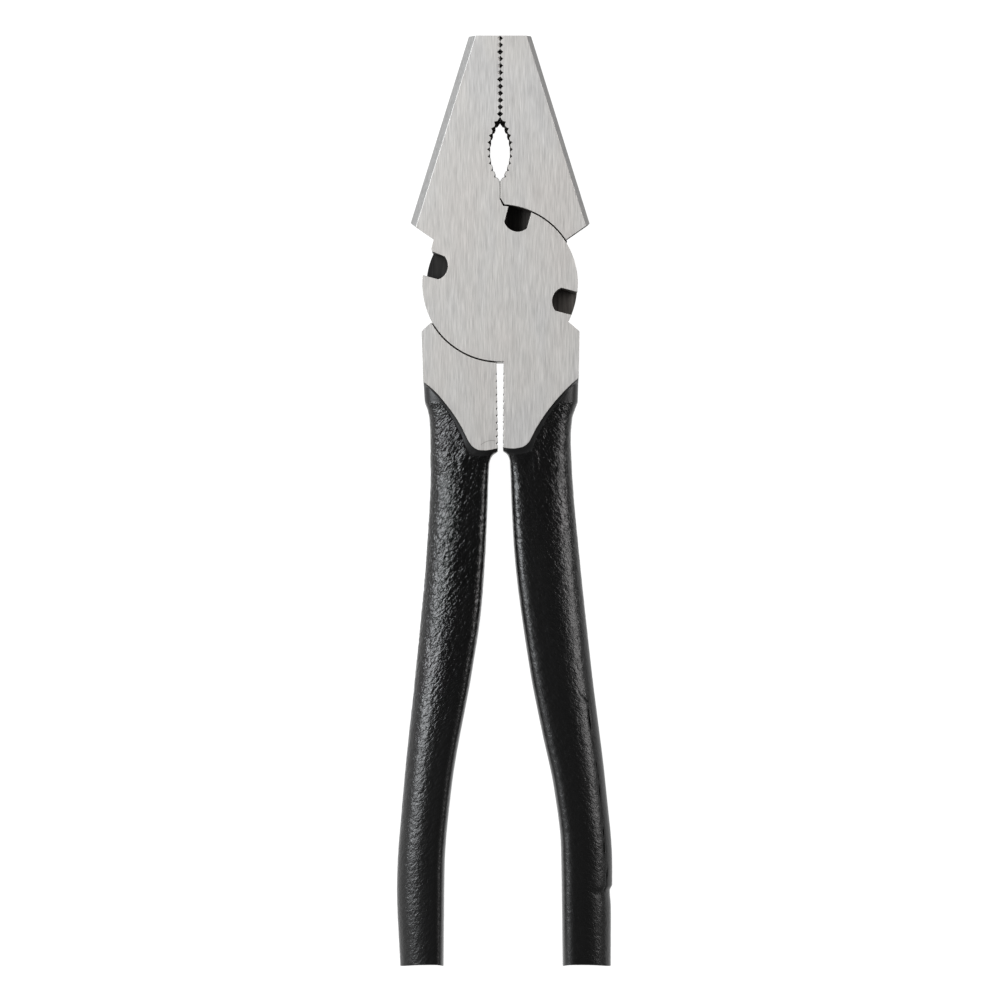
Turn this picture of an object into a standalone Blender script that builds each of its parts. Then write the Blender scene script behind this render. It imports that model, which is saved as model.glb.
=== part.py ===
"""Linesman and fencing pliers, 254 mm long, lying on their rear face with the jaws closed.

The tool is a lap joint. Each steel half is a jaw, a half-thickness joint disc and the handle of the
other side. The front half has the left jaw and the right handle, and its disc is the front layer. The
rear half is the same forging turned over. A rivet, countersunk at both ends and ground flush, joins
them, and each handle wears a moulded sleeve.

Frame: metres. X runs across the handles, Y along the tool towards the nose, and Z up through the
thickness. The pivot is the Z axis, and the head's rear faces lie at Z = 0.

Each half is drawn as the front one: jaw at -X, handle at +X, disc in the upper layer.
"""

import math

import bmesh
import bpy
import numpy as np

MM = 0.001

# Driving dimensions, in millimetres and degrees.
THICKNESS = 12.0
NOSE_Y = 67.5
END_Y = -186.5
NOSE_HALF_WIDTH = 8.5
JAW_CORNER = (-24.45, 16.4)
FRONT_CHAMFER = 1.8
REAR_CHAMFER = 1.25

DISC_RADIUS = 21.2
JAW_SHOULDER = ((-18.5, 8.7), (-18.73, 9.65), (-18.1, 12.0))
HANDLE_SHOULDER_ANGLE = -29.1
HANDLE_SHOULDER_CORNER_Y = -13.0
FLAT_MEETS_EDGE_Y = -26.0
ARC_STEP = 2.0

# Clearances between pieces that touch on the real tool.
JAW_GAP = 0.06
LAYER_GAP = 0.12
ARC_GAP = 0.32
RIVET_GAP = 0.08
SLEEVE_GAP = 0.25

# The three shear notches of each disc. They meet the other half's when the handles are 30 degrees open.
NOTCH_ANGLES = (75.0, -15.0, -195.0)
NOTCH_HALF_WIDTH = 3.2
NOTCH_FLOOR_RADIUS = 14.8
NOTCH_FLOOR_CURVE = 3.9

# Gripping teeth: V grooves across the jaw face, the pipe grip and the faces below the joint.
TOOTH_PITCH = 1.876
TOOTH_DEPTH = 0.7
TOOTH_HALF_WIDTH = 0.72
FIRST_TOOTH_Y = 66.8
JAW_TEETH = 12
PIPE_GRIP_Y = 36.5
PIPE_GRIP_HALF_LENGTH = 8.7
PIPE_GRIP_HALF_WIDTH = 2.7
PIPE_TEETH = 9
PIPE_TOOTH_DEPTH = 0.6
PIPE_TOOTH_HALF_ANGLE = 2.0
LOWER_TEETH = 11
LOWER_TOOTH_DEPTH = 0.27
LOWER_TOOTH_HALF_WIDTH = 0.45

# The throat, where the jaw faces meet the discs: a fillet on the disc, a relief on the other jaw.
THROAT_FILLET = (0.8, 22.9)
THROAT_RELIEF = (1.15, 23.45)

RIVET_RADIUS = 5.0
RIVET_HEAD_RADIUS = 7.0
RIVET_HEAD_HEIGHT = 2.2
RIVET_STEPS = 64

# Sleeves: wall, half thickness of the tool there, and the shape of the section.
SLEEVE_WALL = 1.0
SLEEVE_HALF_HEIGHTS = ((-22.0, 5.2), (-48.0, 5.3), (-90.0, 5.85), (-130.0, 6.0), (END_Y, 5.8))
CREST = 0.38
OUTER_ROUNDNESS = 2.2
INNER_ROUNDNESS = 3.2
SLEEVE_SIDES = 24
TANG_SIDES = 16
NECK_STATIONS = (-22.0, -28.0, -31.5, -33.5, -36.0, -38.5, -41.5, -45.2, -46.0, -47.2, -49.0, -52.0)
BODY_STATION_STEP = 7.5

# Outer and inner edge of each handle as X at each Y: the shank, the neck's shoulder, then the bow. Also
# the edge of the ground flat as Y at each X, and any sector of the joint disc's rim that is cut back.
RIGHT_HANDLE = {
    "outer": (
        (HANDLE_SHOULDER_CORNER_Y, 21.65), (-31.5, 21.35), (-36.5, 19.85), (-42.0, 19.45), (-50.0, 19.75),
        (-73.0, 21.7), (-105.0, 25.1), (-138.0, 29.1), (-159.0, 30.8), (END_Y, 30.4),
    ),
    "inner": (
        (-21.0, 0.96), (-45.0, 0.78), (-46.5, 1.75), (-49.0, 2.4), (-61.0, 2.9), (-73.0, 3.8),
        (-105.0, 8.1), (-122.0, 11.4), (-138.0, 14.8), (-154.0, 16.7), (END_Y, 17.2),
    ),
    "flat": (
        (0.4, -44.6), (3.6, -44.95), (6.15, -44.5), (7.7, -43.4), (9.9, -39.3), (13.7, -33.7),
        (19.0, -27.8), (23.0, -24.3),
    ),
    "rim_relief": None,
}
LEFT_HANDLE = {
    "outer": (
        (HANDLE_SHOULDER_CORNER_Y, 21.4), (-31.5, 20.65), (-36.5, 19.5), (-42.0, 19.15), (-52.0, 19.15),
        (-73.0, 20.2), (-105.0, 23.1), (-138.0, 26.5), (-165.0, 28.3), (END_Y, 27.4),
    ),
    "inner": (
        (-21.0, 0.96), (-45.0, 0.6), (-46.5, 1.45), (-49.0, 2.55), (-61.0, 3.1), (-73.0, 3.75),
        (-89.0, 5.15), (-105.0, 7.5), (-138.0, 13.3), (-160.0, 15.2), (END_Y, 15.5),
    ),
    "flat": (
        (0.4, -44.8), (3.9, -45.45), (5.8, -45.35), (7.35, -44.5), (8.3, -43.4), (10.5, -39.0),
        (13.8, -34.0), (18.3, -28.8), (23.0, -25.2),
    ),
    "rim_relief": (20.2, 30.0, 2.0),
}

STEEL = ("brushed_steel", (0.60, 0.59, 0.57), 0.34, 1.0)
RIVET_STEEL = ("rivet_steel", (0.60, 0.59, 0.57), 0.36, 1.0)
VINYL = ("black_vinyl", (0.018, 0.018, 0.019), 0.42, 0.0)


# ---------------------------------------------------------------- drawing


def smooth(knots, at):
    """Value at one place of a curve through the knots (place, value), which never overshoots them."""
    places, values = np.array(sorted(knots), float).T
    slopes = np.diff(values) / np.diff(places)
    tangents = np.concatenate([slopes[:1], np.zeros(len(slopes) - 1), slopes[-1:]])
    for i in range(1, len(slopes)):
        if slopes[i - 1] * slopes[i] > 0:
            tangents[i] = 2 * slopes[i - 1] * slopes[i] / (slopes[i - 1] + slopes[i])
    i = int(np.clip(np.searchsorted(places, at) - 1, 0, len(places) - 2))
    span = places[i + 1] - places[i]
    t = (at - places[i]) / span
    return (
        values[i] * (2 * t**3 - 3 * t**2 + 1)
        + tangents[i] * span * (t**3 - 2 * t**2 + t)
        + values[i + 1] * (3 * t**2 - 2 * t**3)
        + tangents[i + 1] * span * (t**3 - t**2)
    )


def on_circle(radius, degrees):
    angle = math.radians(degrees)
    return (radius * math.cos(angle), radius * math.sin(angle))


def arc(radius, start, end):
    """Points about the pivot from one angle to another, both included."""
    count = max(1, math.ceil(abs(end - start) / ARC_STEP))
    return [on_circle(radius, start + (end - start) * i / count) for i in range(count + 1)]


def notch(degrees):
    """A shear notch, from its counter-clockwise rim corner round its floor to the other."""
    centre = NOTCH_FLOOR_RADIUS + NOTCH_FLOOR_CURVE
    rim = math.sqrt(DISC_RADIUS**2 - NOTCH_HALF_WIDTH**2)
    reach = math.degrees(math.asin(NOTCH_HALF_WIDTH / NOTCH_FLOOR_CURVE))
    local = [(rim, NOTCH_HALF_WIDTH)]
    for i in range(13):
        angle = math.radians(reach - 2 * reach * i / 12)
        local.append((centre - NOTCH_FLOOR_CURVE * math.cos(angle), NOTCH_FLOOR_CURVE * math.sin(angle)))
    local.append((rim, -NOTCH_HALF_WIDTH))
    c, s = on_circle(1, degrees)
    return [(r * c - t * s, r * s + t * c) for r, t in local]


def rim(start, end):
    """The disc's rim, clockwise from one angle to another, with its notches."""
    half = math.degrees(math.asin(NOTCH_HALF_WIDTH / DISC_RADIUS))
    points, here = [], start
    for degrees in NOTCH_ANGLES:
        if end < degrees < start:
            points += arc(DISC_RADIUS, here, degrees + half)[:-1] + notch(degrees)
            here = degrees - half
            points.pop()
    return points + arc(DISC_RADIUS, here, end)


def jaw_face():
    """The jaw's inner edge, from the nose down to the throat: teeth, pipe grip and shear face."""
    points = [(-JAW_GAP, NOSE_Y)]
    for i in range(JAW_TEETH):
        y = FIRST_TOOTH_Y - i * TOOTH_PITCH
        top = min(y + TOOTH_HALF_WIDTH, NOSE_Y - 0.05)
        points += [(-JAW_GAP, top), (-JAW_GAP - TOOTH_DEPTH, y), (-JAW_GAP, y - TOOTH_HALF_WIDTH)]
    radius = (PIPE_GRIP_HALF_LENGTH**2 + PIPE_GRIP_HALF_WIDTH**2) / (2 * PIPE_GRIP_HALF_WIDTH)
    reach = math.degrees(math.asin(PIPE_GRIP_HALF_LENGTH / radius))
    pitch = math.degrees(TOOTH_PITCH / radius)

    def on_grip(degrees, depth=0.0):
        x, y = on_circle(radius + depth, degrees)
        return (radius - PIPE_GRIP_HALF_WIDTH - JAW_GAP - x, PIPE_GRIP_Y + y)

    points.append(on_grip(reach))
    for i in range(PIPE_TEETH):
        middle = pitch * ((PIPE_TEETH - 1) / 2 - i)
        points.append(on_grip(middle + PIPE_TOOTH_HALF_ANGLE))
        points.append(on_grip(middle, PIPE_TOOTH_DEPTH))
        points.append(on_grip(middle - PIPE_TOOTH_HALF_ANGLE))
    points.append(on_grip(-reach))
    points.append((-JAW_GAP, THROAT_FILLET[1]))
    return points


def lower_face(handle):
    """The toothed inner edge below the joint, from the flat face's lower edge up to the disc."""
    bottom = handle["inner"][1][0]
    top = handle["inner"][0][0]
    points = []
    for i in range(LOWER_TEETH):
        y = bottom + TOOTH_PITCH * (i + 0.8)
        x = smooth(handle["inner"], y)
        points += [(x, y - LOWER_TOOTH_HALF_WIDTH), (x + LOWER_TOOTH_DEPTH, y), (x, y + LOWER_TOOTH_HALF_WIDTH)]
    return points + [(handle["inner"][0][1], top)]


def flat_edge(handle, first, last, count=24):
    """Points along the edge of the ground flat, between two values of X."""
    return [(x, smooth(handle["flat"], x)) for x in np.linspace(first, last, count)]


def right_rim(handle):
    """The rim on the handle's side, from the throat to the handle's shoulder."""
    throat = math.degrees(math.acos(THROAT_FILLET[0] / DISC_RADIUS))
    if handle["rim_relief"] is None:
        return rim(throat, HANDLE_SHOULDER_ANGLE)
    radius, high, low = handle["rim_relief"]
    return rim(throat, high) + arc(radius, high, low) + rim(low, HANDLE_SHOULDER_ANGLE)


def left_rim(handle):
    """The rim on the jaw's side, from the gap between the handles to the jaw's shoulder."""
    gap_top = -math.degrees(math.acos(handle["inner"][0][1] / DISC_RADIUS))
    last = NOTCH_ANGLES[-1]
    half = math.degrees(math.asin(NOTCH_HALF_WIDTH / DISC_RADIUS))
    return arc(DISC_RADIUS, gap_top, last + half)[:-1] + notch(last)[:-1] + list(JAW_SHOULDER)


def half_outline(handle):
    """The whole outline of a steel half, clockwise from its nose."""
    shoulder = (smooth(handle["outer"], HANDLE_SHOULDER_CORNER_Y), HANDLE_SHOULDER_CORNER_Y)
    flat_start = smooth(handle["outer"], FLAT_MEETS_EDGE_Y)
    return (
        jaw_face()
        + right_rim(handle)
        + [shoulder]
        + flat_edge(handle, flat_start, handle["inner"][1][1])
        + lower_face(handle)[:-1]
        + left_rim(handle)
        + [JAW_CORNER, (-NOSE_HALF_WIDTH, NOSE_Y)]
    )


def section(handle, y, inset, sides):
    """One cross-section of a handle: two half superellipses that share a crest near the inner side."""
    inner = smooth(handle["inner"], y) + inset
    outer = smooth(handle["outer"], y) - inset
    height = smooth(SLEEVE_HALF_HEIGHTS, y) - inset
    crest = inner + CREST * (outer - inner)
    ring = []
    for i in range(sides):
        c, s = on_circle(1, 360 * i / sides)
        reach, power = (outer - crest, 2 / OUTER_ROUNDNESS) if c > 0 else (crest - inner, 2 / INNER_ROUNDNESS)
        x = crest + math.copysign(reach * abs(c) ** power, c)
        z = THICKNESS / 2 + math.copysign(height * abs(s) ** power, s)
        ring.append((x, y, z))
    return ring


def stations(last):
    """Places along a handle for its cross-sections: close at the neck, then evenly spaced."""
    count = math.ceil((NECK_STATIONS[-1] - last) / BODY_STATION_STEP)
    return list(NECK_STATIONS) + list(np.linspace(NECK_STATIONS[-1], last, count + 1)[1:])


# ---------------------------------------------------------------- Blender objects


def clear_scene():
    for obj in list(bpy.data.objects):
        bpy.data.objects.remove(obj, do_unlink=True)


def new_collection(name):
    collection = bpy.data.collections.new(name)
    bpy.context.scene.collection.children.link(collection)
    return collection


def material(name, colour, roughness, metallic):
    made = bpy.data.materials.get(name)
    if made is None:
        made = bpy.data.materials.new(name)
        made.use_nodes = True
        shader = made.node_tree.nodes["Principled BSDF"]
        shader.inputs["Base Color"].default_value = (*colour, 1.0)
        shader.inputs["Roughness"].default_value = roughness
        shader.inputs["Metallic"].default_value = metallic
    return made


def add_object(name, mesh, collection, parent=None):
    obj = bpy.data.objects.new(name, mesh)
    collection.objects.link(obj)
    obj.parent = parent
    return obj


def make_cutter(obj):
    obj.hide_render = True
    obj.display_type = "WIRE"
    return obj


def cut(obj, tool, operation="DIFFERENCE"):
    modifier = obj.modifiers.new(f"{operation.lower()}_{tool.name}", "BOOLEAN")
    modifier.operation = operation
    modifier.object = tool


def finish(obj, look):
    obj.data.materials.append(material(*look))
    obj.data.shade_smooth()
    obj.data.set_sharp_from_angle(angle=math.radians(30))


def plate_mesh(name, outline, low, high):
    """A flat outline between two heights, made as a filled 2D curve and turned into a closed mesh."""
    curve = bpy.data.curves.new(name, "CURVE")
    curve.dimensions = "2D"
    curve.fill_mode = "BOTH"
    curve.extrude = (high - low) / 2 * MM
    spline = curve.splines.new("POLY")
    spline.points.add(len(outline) - 1)
    for point, (x, y) in zip(spline.points, outline):
        point.co = (x * MM, y * MM, 0.0, 1.0)
    spline.use_cyclic_u = True
    holder = bpy.data.objects.new(name, curve)
    bpy.context.scene.collection.objects.link(holder)
    graph = bpy.context.evaluated_depsgraph_get()
    mesh = bpy.data.meshes.new_from_object(holder.evaluated_get(graph))
    bpy.data.objects.remove(holder)
    bm = bmesh.new()
    bm.from_mesh(mesh)
    bmesh.ops.remove_doubles(bm, verts=bm.verts, dist=1e-6)
    bmesh.ops.translate(bm, verts=bm.verts, vec=(0, 0, (low + high) / 2 * MM))
    bmesh.ops.dissolve_limit(bm, angle_limit=math.radians(0.1), verts=bm.verts, edges=bm.edges)
    bmesh.ops.recalc_face_normals(bm, faces=bm.faces)
    bm.to_mesh(mesh)
    bm.free()
    return mesh


def chamfer_edge(mesh, start, end, height, width):
    """Chamfers the straight edge that joins two outline corners at one height."""
    bm = bmesh.new()
    bm.from_mesh(mesh)
    ends = [np.array([*corner, height]) * MM for corner in (start, end)]

    def touches(edge, corner):
        return any(np.abs(np.array(v.co) - corner).max() < 1e-6 for v in edge.verts)

    edges = [e for e in bm.edges if all(touches(e, corner) for corner in ends)]
    bmesh.ops.bevel(bm, geom=edges, offset=width * MM, offset_type="OFFSET", segments=1, affect="EDGES")
    bm.to_mesh(mesh)
    bm.free()


def loft_mesh(name, rings):
    """A closed solid through cross-sections that have the same number of points."""
    bm = bmesh.new()
    loops = [[bm.verts.new([c * MM for c in point]) for point in ring] for ring in rings]
    for above, below in zip(loops, loops[1:]):
        for i in range(len(above)):
            j = (i + 1) % len(above)
            bm.faces.new((above[i], above[j], below[j], below[i]))
    bm.faces.new(loops[0])
    bm.faces.new(loops[-1])
    bmesh.ops.recalc_face_normals(bm, faces=bm.faces)
    mesh = bpy.data.meshes.new(name)
    bm.to_mesh(mesh)
    bm.free()
    return mesh


def turned_object(name, profile, collection):
    """A solid of revolution about Z from its outer profile, given top to bottom as (radius, z)."""
    mesh = bpy.data.meshes.new(name)
    points = [(radius * MM, 0.0, z * MM) for radius, z in profile]
    mesh.from_pydata(points, [(i, i + 1) for i in range(len(points) - 1)], [])
    obj = add_object(name, mesh, collection)
    screw = obj.modifiers.new("turn", "SCREW")
    screw.axis = "Z"
    screw.angle = math.tau
    screw.steps = screw.render_steps = RIVET_STEPS
    screw.use_merge_vertices = True
    screw.merge_threshold = 1e-6
    screw.use_smooth_shade = True
    return obj


# ---------------------------------------------------------------- pieces


def rivet_profile(clearance, overrun):
    """Countersunk at both faces: from the upper axis point round the outside to the lower one."""
    head = RIVET_HEAD_RADIUS + clearance
    shank = RIVET_RADIUS + clearance
    above = [(head, THICKNESS + overrun)] if overrun else []
    below = [(head, -overrun)] if overrun else []
    return (
        [(0.0, THICKNESS + overrun)]
        + above
        + [(head, THICKNESS), (shank, THICKNESS - RIVET_HEAD_HEIGHT)]
        + [(shank, RIVET_HEAD_HEIGHT), (head, 0.0)]
        + below
        + [(0.0, -overrun)]
    )


def make_rivet(parts):
    rivet = turned_object("pivot_rivet", rivet_profile(0.0, 0.0), parts)
    rivet.data.materials.append(material(*RIVET_STEEL))
    return rivet


def pocket_outline():
    """The other half's disc, grown by the running gap, with the relief for the throat fillet."""
    x, y = THROAT_RELIEF
    side = 90 - math.degrees(math.acos(x / (DISC_RADIUS + ARC_GAP)))
    return [(0.0, y)] + arc(DISC_RADIUS + ARC_GAP, 90 - side, side - 270)


def make_half(name, handle, parts, cutters):
    """One steel forging: plate with the jaw, disc and flat, less the joint's pocket and bore, with its tang."""
    mesh = plate_mesh(name, half_outline(handle), 0.0, THICKNESS)
    nose = (-NOSE_HALF_WIDTH, NOSE_Y)
    chamfer_edge(mesh, nose, JAW_CORNER, THICKNESS, FRONT_CHAMFER)
    chamfer_edge(mesh, nose, JAW_CORNER, 0.0, REAR_CHAMFER)
    half = add_object(name, mesh, parts)

    middle = THICKNESS / 2 + LAYER_GAP / 2
    pocket = add_object(name + "_pocket", plate_mesh(name + "_pocket", pocket_outline(), -1.0, middle), cutters, half)
    bore = turned_object(name + "_bore", rivet_profile(RIVET_GAP, 1.0), cutters)
    bore.parent = half
    inset = SLEEVE_WALL + SLEEVE_GAP
    rings = [section(handle, y, inset, TANG_SIDES) for y in stations(END_Y + 2.5)]
    tang = add_object(name + "_tang", loft_mesh(name + "_tang", rings), cutters, half)
    cut(half, make_cutter(pocket))
    cut(half, make_cutter(bore))
    cut(half, make_cutter(tang), "UNION")
    finish(half, STEEL)
    return half


def make_grip(name, handle, half, parts, cutters):
    """The moulded sleeve: the handle's outer shape, hollow for the tang, trimmed along the flat face."""
    rings = [section(handle, y, 0.0, SLEEVE_SIDES) for y in stations(END_Y)]
    grip = add_object(name, loft_mesh(name, rings), parts, half)

    rings = [section(handle, y, SLEEVE_WALL, TANG_SIDES) for y in stations(END_Y + 2.2)]
    cavity = add_object(name + "_cavity", loft_mesh(name + "_cavity", rings), cutters, half)
    shift = (0.2, -0.3)
    edge = [(x + shift[0], y + shift[1]) for x, y in flat_edge(handle, -1.0, 24.0, 36)]
    trim = add_object(
        name + "_trim", plate_mesh(name + "_trim", edge + [(24.2, -15.0), (-0.8, -15.0)], -2.0, THICKNESS + 2.0),
        cutters, half,
    )
    cut(grip, make_cutter(cavity))
    cut(grip, make_cutter(trim))
    finish(grip, VINYL)
    return grip


def turn_over(obj):
    """Lays a half on its front face about the long axis, so that it meets the other half."""
    obj.rotation_euler = (0.0, math.pi, 0.0)
    obj.location = (0.0, 0.0, THICKNESS * MM)


def main():
    clear_scene()
    parts = new_collection("linesman_pliers")
    cutters = new_collection("cutters")
    front = make_half("front_jaw_half", RIGHT_HANDLE, parts, cutters)
    rear = make_half("rear_jaw_half", LEFT_HANDLE, parts, cutters)
    turn_over(rear)
    make_rivet(parts)
    make_grip("right_grip", RIGHT_HANDLE, front, parts, cutters)
    make_grip("left_grip", LEFT_HANDLE, rear, parts, cutters)


main()
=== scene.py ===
"""The looks of the pliers: ground steel halves with worn edges, a flush rivet, and black coated grips.

The frame is that of the CAD model: +Y towards the nose, +X to the right handle, and +Z out of the front
face. The pivot is the Z axis, and the tool lies on the floor at Z = 0. Meshes are in metres. Named sizes
are in mm, and MM turns them into metres.
"""

import math

import bmesh
import bpy
import numpy as np
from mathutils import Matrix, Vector, noise


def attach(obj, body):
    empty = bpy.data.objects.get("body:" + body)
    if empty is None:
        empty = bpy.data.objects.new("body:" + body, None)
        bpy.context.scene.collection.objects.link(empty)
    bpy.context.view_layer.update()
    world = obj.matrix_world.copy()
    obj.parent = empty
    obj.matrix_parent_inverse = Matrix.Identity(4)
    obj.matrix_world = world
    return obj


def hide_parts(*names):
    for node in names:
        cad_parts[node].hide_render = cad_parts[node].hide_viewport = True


MM = 0.001

# Handles. "outer" and "inner" are the edges as X at each Y, and "flat" is the edge of the ground face as Y
# at each X. "crest" is where the section is highest, as a share of its width from the inner edge. "relief"
# is how strong the wrinkles are at each Y, and "calm" the share of it that the inner side has.
END_Y = -186.5
RIGHT = {
    "side": 1,
    "calm": 0.85,
    "relief": ((-26.0, 0.75), (-55.0, 0.8), (-85.0, 0.58), (-135.0, 0.46), (END_Y, 0.38)),
    "crest": ((-26.0, 0.38), (END_Y, 0.38)),
    "outer": (
        (-13.0, 21.65), (-32.0, 21.3), (-34.0, 20.65), (-36.5, 19.85), (-42.0, 19.45), (-50.0, 19.75),
        (-73.0, 21.7), (-105.0, 25.1), (-138.0, 29.1), (-159.0, 30.8), (-164.2, 30.8), (-165.9, 30.15),
        (-171.0, 30.45), (END_Y, 30.4),
    ),
    "inner": (
        (-21.0, 0.96), (-45.4, 0.85), (-46.0, 1.55), (-46.9, 2.3), (-48.2, 2.65), (-61.0, 3.2), (-73.0, 3.9),
        (-105.0, 8.1), (-122.0, 11.4), (-138.0, 14.8), (-154.0, 16.7), (END_Y, 17.2),
    ),
    "flat": (
        (0.4, -44.6), (3.6, -44.95), (6.15, -44.5), (7.7, -43.4), (9.9, -39.3), (13.7, -33.7),
        (19.0, -27.8), (23.0, -24.3),
    ),
}
LEFT = {
    "side": -1,
    "calm": 0.6,
    "relief": ((-26.0, 0.95), (-52.0, 1.45), (-90.0, 1.3), (-135.0, 0.65), (END_Y, 0.55)),
    "crest": ((-26.0, 0.38), (-120.0, 0.38), (END_Y, 0.28)),
    "outer": (
        (-13.0, 21.4), (-32.2, 20.6), (-34.0, 20.0), (-36.5, 19.45), (-42.0, 19.15), (-52.0, 19.15),
        (-73.0, 20.2), (-105.0, 23.1), (-138.0, 26.5), (-165.0, 28.3), (END_Y, 27.4),
    ),
    "inner": (
        (-21.0, 0.96), (-45.5, 0.62), (-46.55, 1.85), (-47.6, 2.55), (-49.0, 2.92), (-61.0, 3.4),
        (-73.0, 3.95), (-89.0, 5.15), (-105.0, 7.5), (-138.0, 13.3), (-160.0, 15.2), (END_Y, 15.5),
    ),
    "flat": (
        (0.4, -44.8), (3.9, -45.45), (5.8, -45.35), (7.35, -44.5), (8.3, -43.4), (10.5, -39.0),
        (13.8, -34.0), (18.3, -28.8), (23.0, -25.2),
    ),
}

# The tool's thickness, then the grips: their half height at each Y and how square their two sides are.
# SQUARING is added to both at the edge of the ground face, and falls to nothing over the lip. AROUND by ALONG
# points make each grip's skin.
THICKNESS = 12.0
HALF_HEIGHTS = ((-22.0, 5.8), (-34.0, 5.6), (-52.0, 5.35), (-90.0, 5.85), (-130.0, 6.0), (END_Y, 5.8))
SQUARING = 6.0
OUTER_ROUNDNESS = ((-26.0, 4.4), (-40.0, 3.2), (-56.0, 2.3), (-100.0, 2.2), (END_Y, 2.2))
INNER_ROUNDNESS = ((-26.0, 8.0), (-46.5, 8.0), (-50.0, 5.6), (-56.0, 4.8), (END_Y, 3.8))
AROUND = 184
ALONG = 520

# The smooth matt lip where the grinding cut through the coating. Over the lip the section goes LIP_SHARE of
# the way from the square edge of the ground face to the handle's own shape, which it reaches over the FALL
# beyond. The lip starts LIP_DROP below the face. Edges of the skin above LIP_EDGE degrees stay sharp.
LIP_WIDTH = 1.2
LIP_SHARE = 0.45
LIP_DROP = 0.05
LIP_EDGE = 50.0
FALL = 4.2

# The wrinkles set in below TEXTURE_Y and outside the lip, and fade over these distances.
TEXTURE_Y = -31.7
TEXTURE_FADE = 1.0
LIP_FADE = 0.5
END_FADE = 0.6

# The right grip's moulding crease and the short hook near its top: how far inside the outer edge at each Y.
# Each fades in over CREASE_ENDS. Above the hook, and where noise wears the crease away, CREASE_LEAST of it is
# left. CREASE_WEAR is how much is left on average and how far that swings, in cells of CREASE_WEAR_LENGTH.
# Outside the crease the wrinkles lose SMOOTH_STRIP of their height.
CREASE = (
    (-97.0, 2.0), (-112.5, 2.0), (-118.0, 2.35), (-136.0, 1.9), (-150.0, 2.05), (-157.2, 2.3), (-158.6, 1.5),
    (-165.5, 1.9),
)
HOOK = ((-112.2, 3.9), (-112.8, 3.1), (-114.2, 2.1))
CREASE_WIDTH = 0.20
CREASE_DEPTH = 0.12
CREASE_ENDS = 0.4
HOOK_FADE = 2.0
CREASE_WEAR = (0.7, 1.1)
CREASE_WEAR_LENGTH = 2.6
CREASE_LEAST = 0.3
SMOOTH_STRIP = 0.35

# The handles' ends are slightly domed over their thickness.
END_DOME = 1.1
END_RINGS = (0.97, 0.8, 0.5, 0.2)

# The coating's unevenness as (cell along, cell across, height). Its length is SLANT degrees off the X axis,
# down and away from the middle. The whole is sunk a little, to stay inside the CAD model. It grows from the
# calm inner side to the outer one: the step starts at CALM_START of the width and is CALM_STEP wide. The peel
# is a finer bump.
SLANT = 48.0
UNEVENNESS = ((7.0, 7.0, 0.04), (2.6, 2.6, 0.03), (1.5, 0.75, 0.08))
SINK = 0.05
CALM_START = 0.28
CALM_STEP = 0.45
PEEL_CELL = (1.15, 0.56, 0.6)
PEEL_HEIGHT = 0.17

# Steel edges sharper than SHARP degrees get a small worn break, but not round the rivet, in the nose grooves
# or under the coating. It is EDGE_BREAK wide, and at most BREAK_SHARE of the shortest edge at either end.
# Points closer than JOIN are made one first, and faces within FLAT degrees of each other too.
SHARP = 28.0
EDGE_BREAK = 0.10
BREAK_SHARE = 0.45
JOIN = 0.004
FLAT = 0.3
RIVET_AREA = 8.0
COATED_Y = -25.0
COATED_DEPTH = 0.4

# The jaw's shoulder, from its corner to its inner end: its wall leans back under the jaw towards the rear, by
# the lean for the left jaw, at 1, or for the right one, at -1. The wedge that cuts it reaches past the steel.
SHOULDER = ((-24.45, 16.4), (-18.1, 12.0))
SHOULDER_LEANS = {1: 1.35, -1: 0.60}
WEDGE_INSET = 0.02
WEDGE_REACH = 6.0
WEDGE_OVERRUN = 3.0
WEDGE_BELOW = 1.0

# The jaws are closed from this Y up: points this near the middle keep only a share of their distance.
CLOSED_Y = 21.5
JAW_GAP = 0.07
GAP_LEFT = 0.05

# The grooves across the left jaw's nose: GROOVE_SLANT below either face, each is closed to its share here,
# from the nose down. The left shank's lower teeth are cut deeper at the front, less so towards the joint.
# SKIN is how near a face a point counts as on it. Roots are found within a share of a tooth's pitch.
SKIN = 0.1
NOSE_TEETH_Y = 45.0
GROOVE_Y = 66.8
GROOVE_PITCH = 1.876
GROOVE_ROOT_X = (-1.0, -0.5)
GROOVE_SLANT = 0.16
GROOVES_OPEN = (0.1, 0.1, 1.0, 0.05, 0.1, 0.15, 1.0, 0.6, 0.5, 0.6, 0.6, 1.0)
LOWER_TOOTH_Y = -43.5
LOWER_TOOTH_X = (-1.6, -0.4)
LOWER_TEETH = 8
LOWER_TOOTH_CUT = 0.24
LOWER_TOOTH_FADE = 0.1
ROOT_REACH = 0.1
LOWER_ROOT_REACH = 0.08

# The finishes of the steel, as places in its list of materials, and where they lie. The half with the left
# jaw is measured as it is, and the other one turned over.
# TOOTHED is near black: partly blackened teeth, partly painted shade, and it also draws the shade under the
# right jaw's shoulder as a dark line.
GROUND, BLACKENED, CHAMFERED, TOOTHED = range(4)
CHAMFER_X = -6.0
CHAMFER_Y = 14.0
JAW_FACE_X = (-4.0, 0.3)
JAW_FACE_Y = 21.4
PIPE_GRIP_TOP = 47.5
NOSE_END_Y = 67.0
JOINT_RADIUS = 22.2
NOTCH_RADII = (14.0, 20.9)
LAYER_REACH = 0.6
LOWER_GAP_X = 1.6
LOWER_GAP_Y = (-44.5, -22.0)
SHOULDER_X = -18.0

# The rivet. Its front head fills the countersink, so that no seam shows, and its edges have a fine break. The
# hub is the radius of the small disc in the middle of each end face.
RIVET_FRONT_HEAD = 7.075
RIVET_REAR_HEAD = 7.0
RIVET_SHANK = 5.0
RIVET_HEAD_HEIGHT = 2.2
RIVET_HUB = 0.3
RIVET_FRONT_BREAK = 0.01
RIVET_REAR_BREAK = 0.04
RIVET_SIDES = 160

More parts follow.
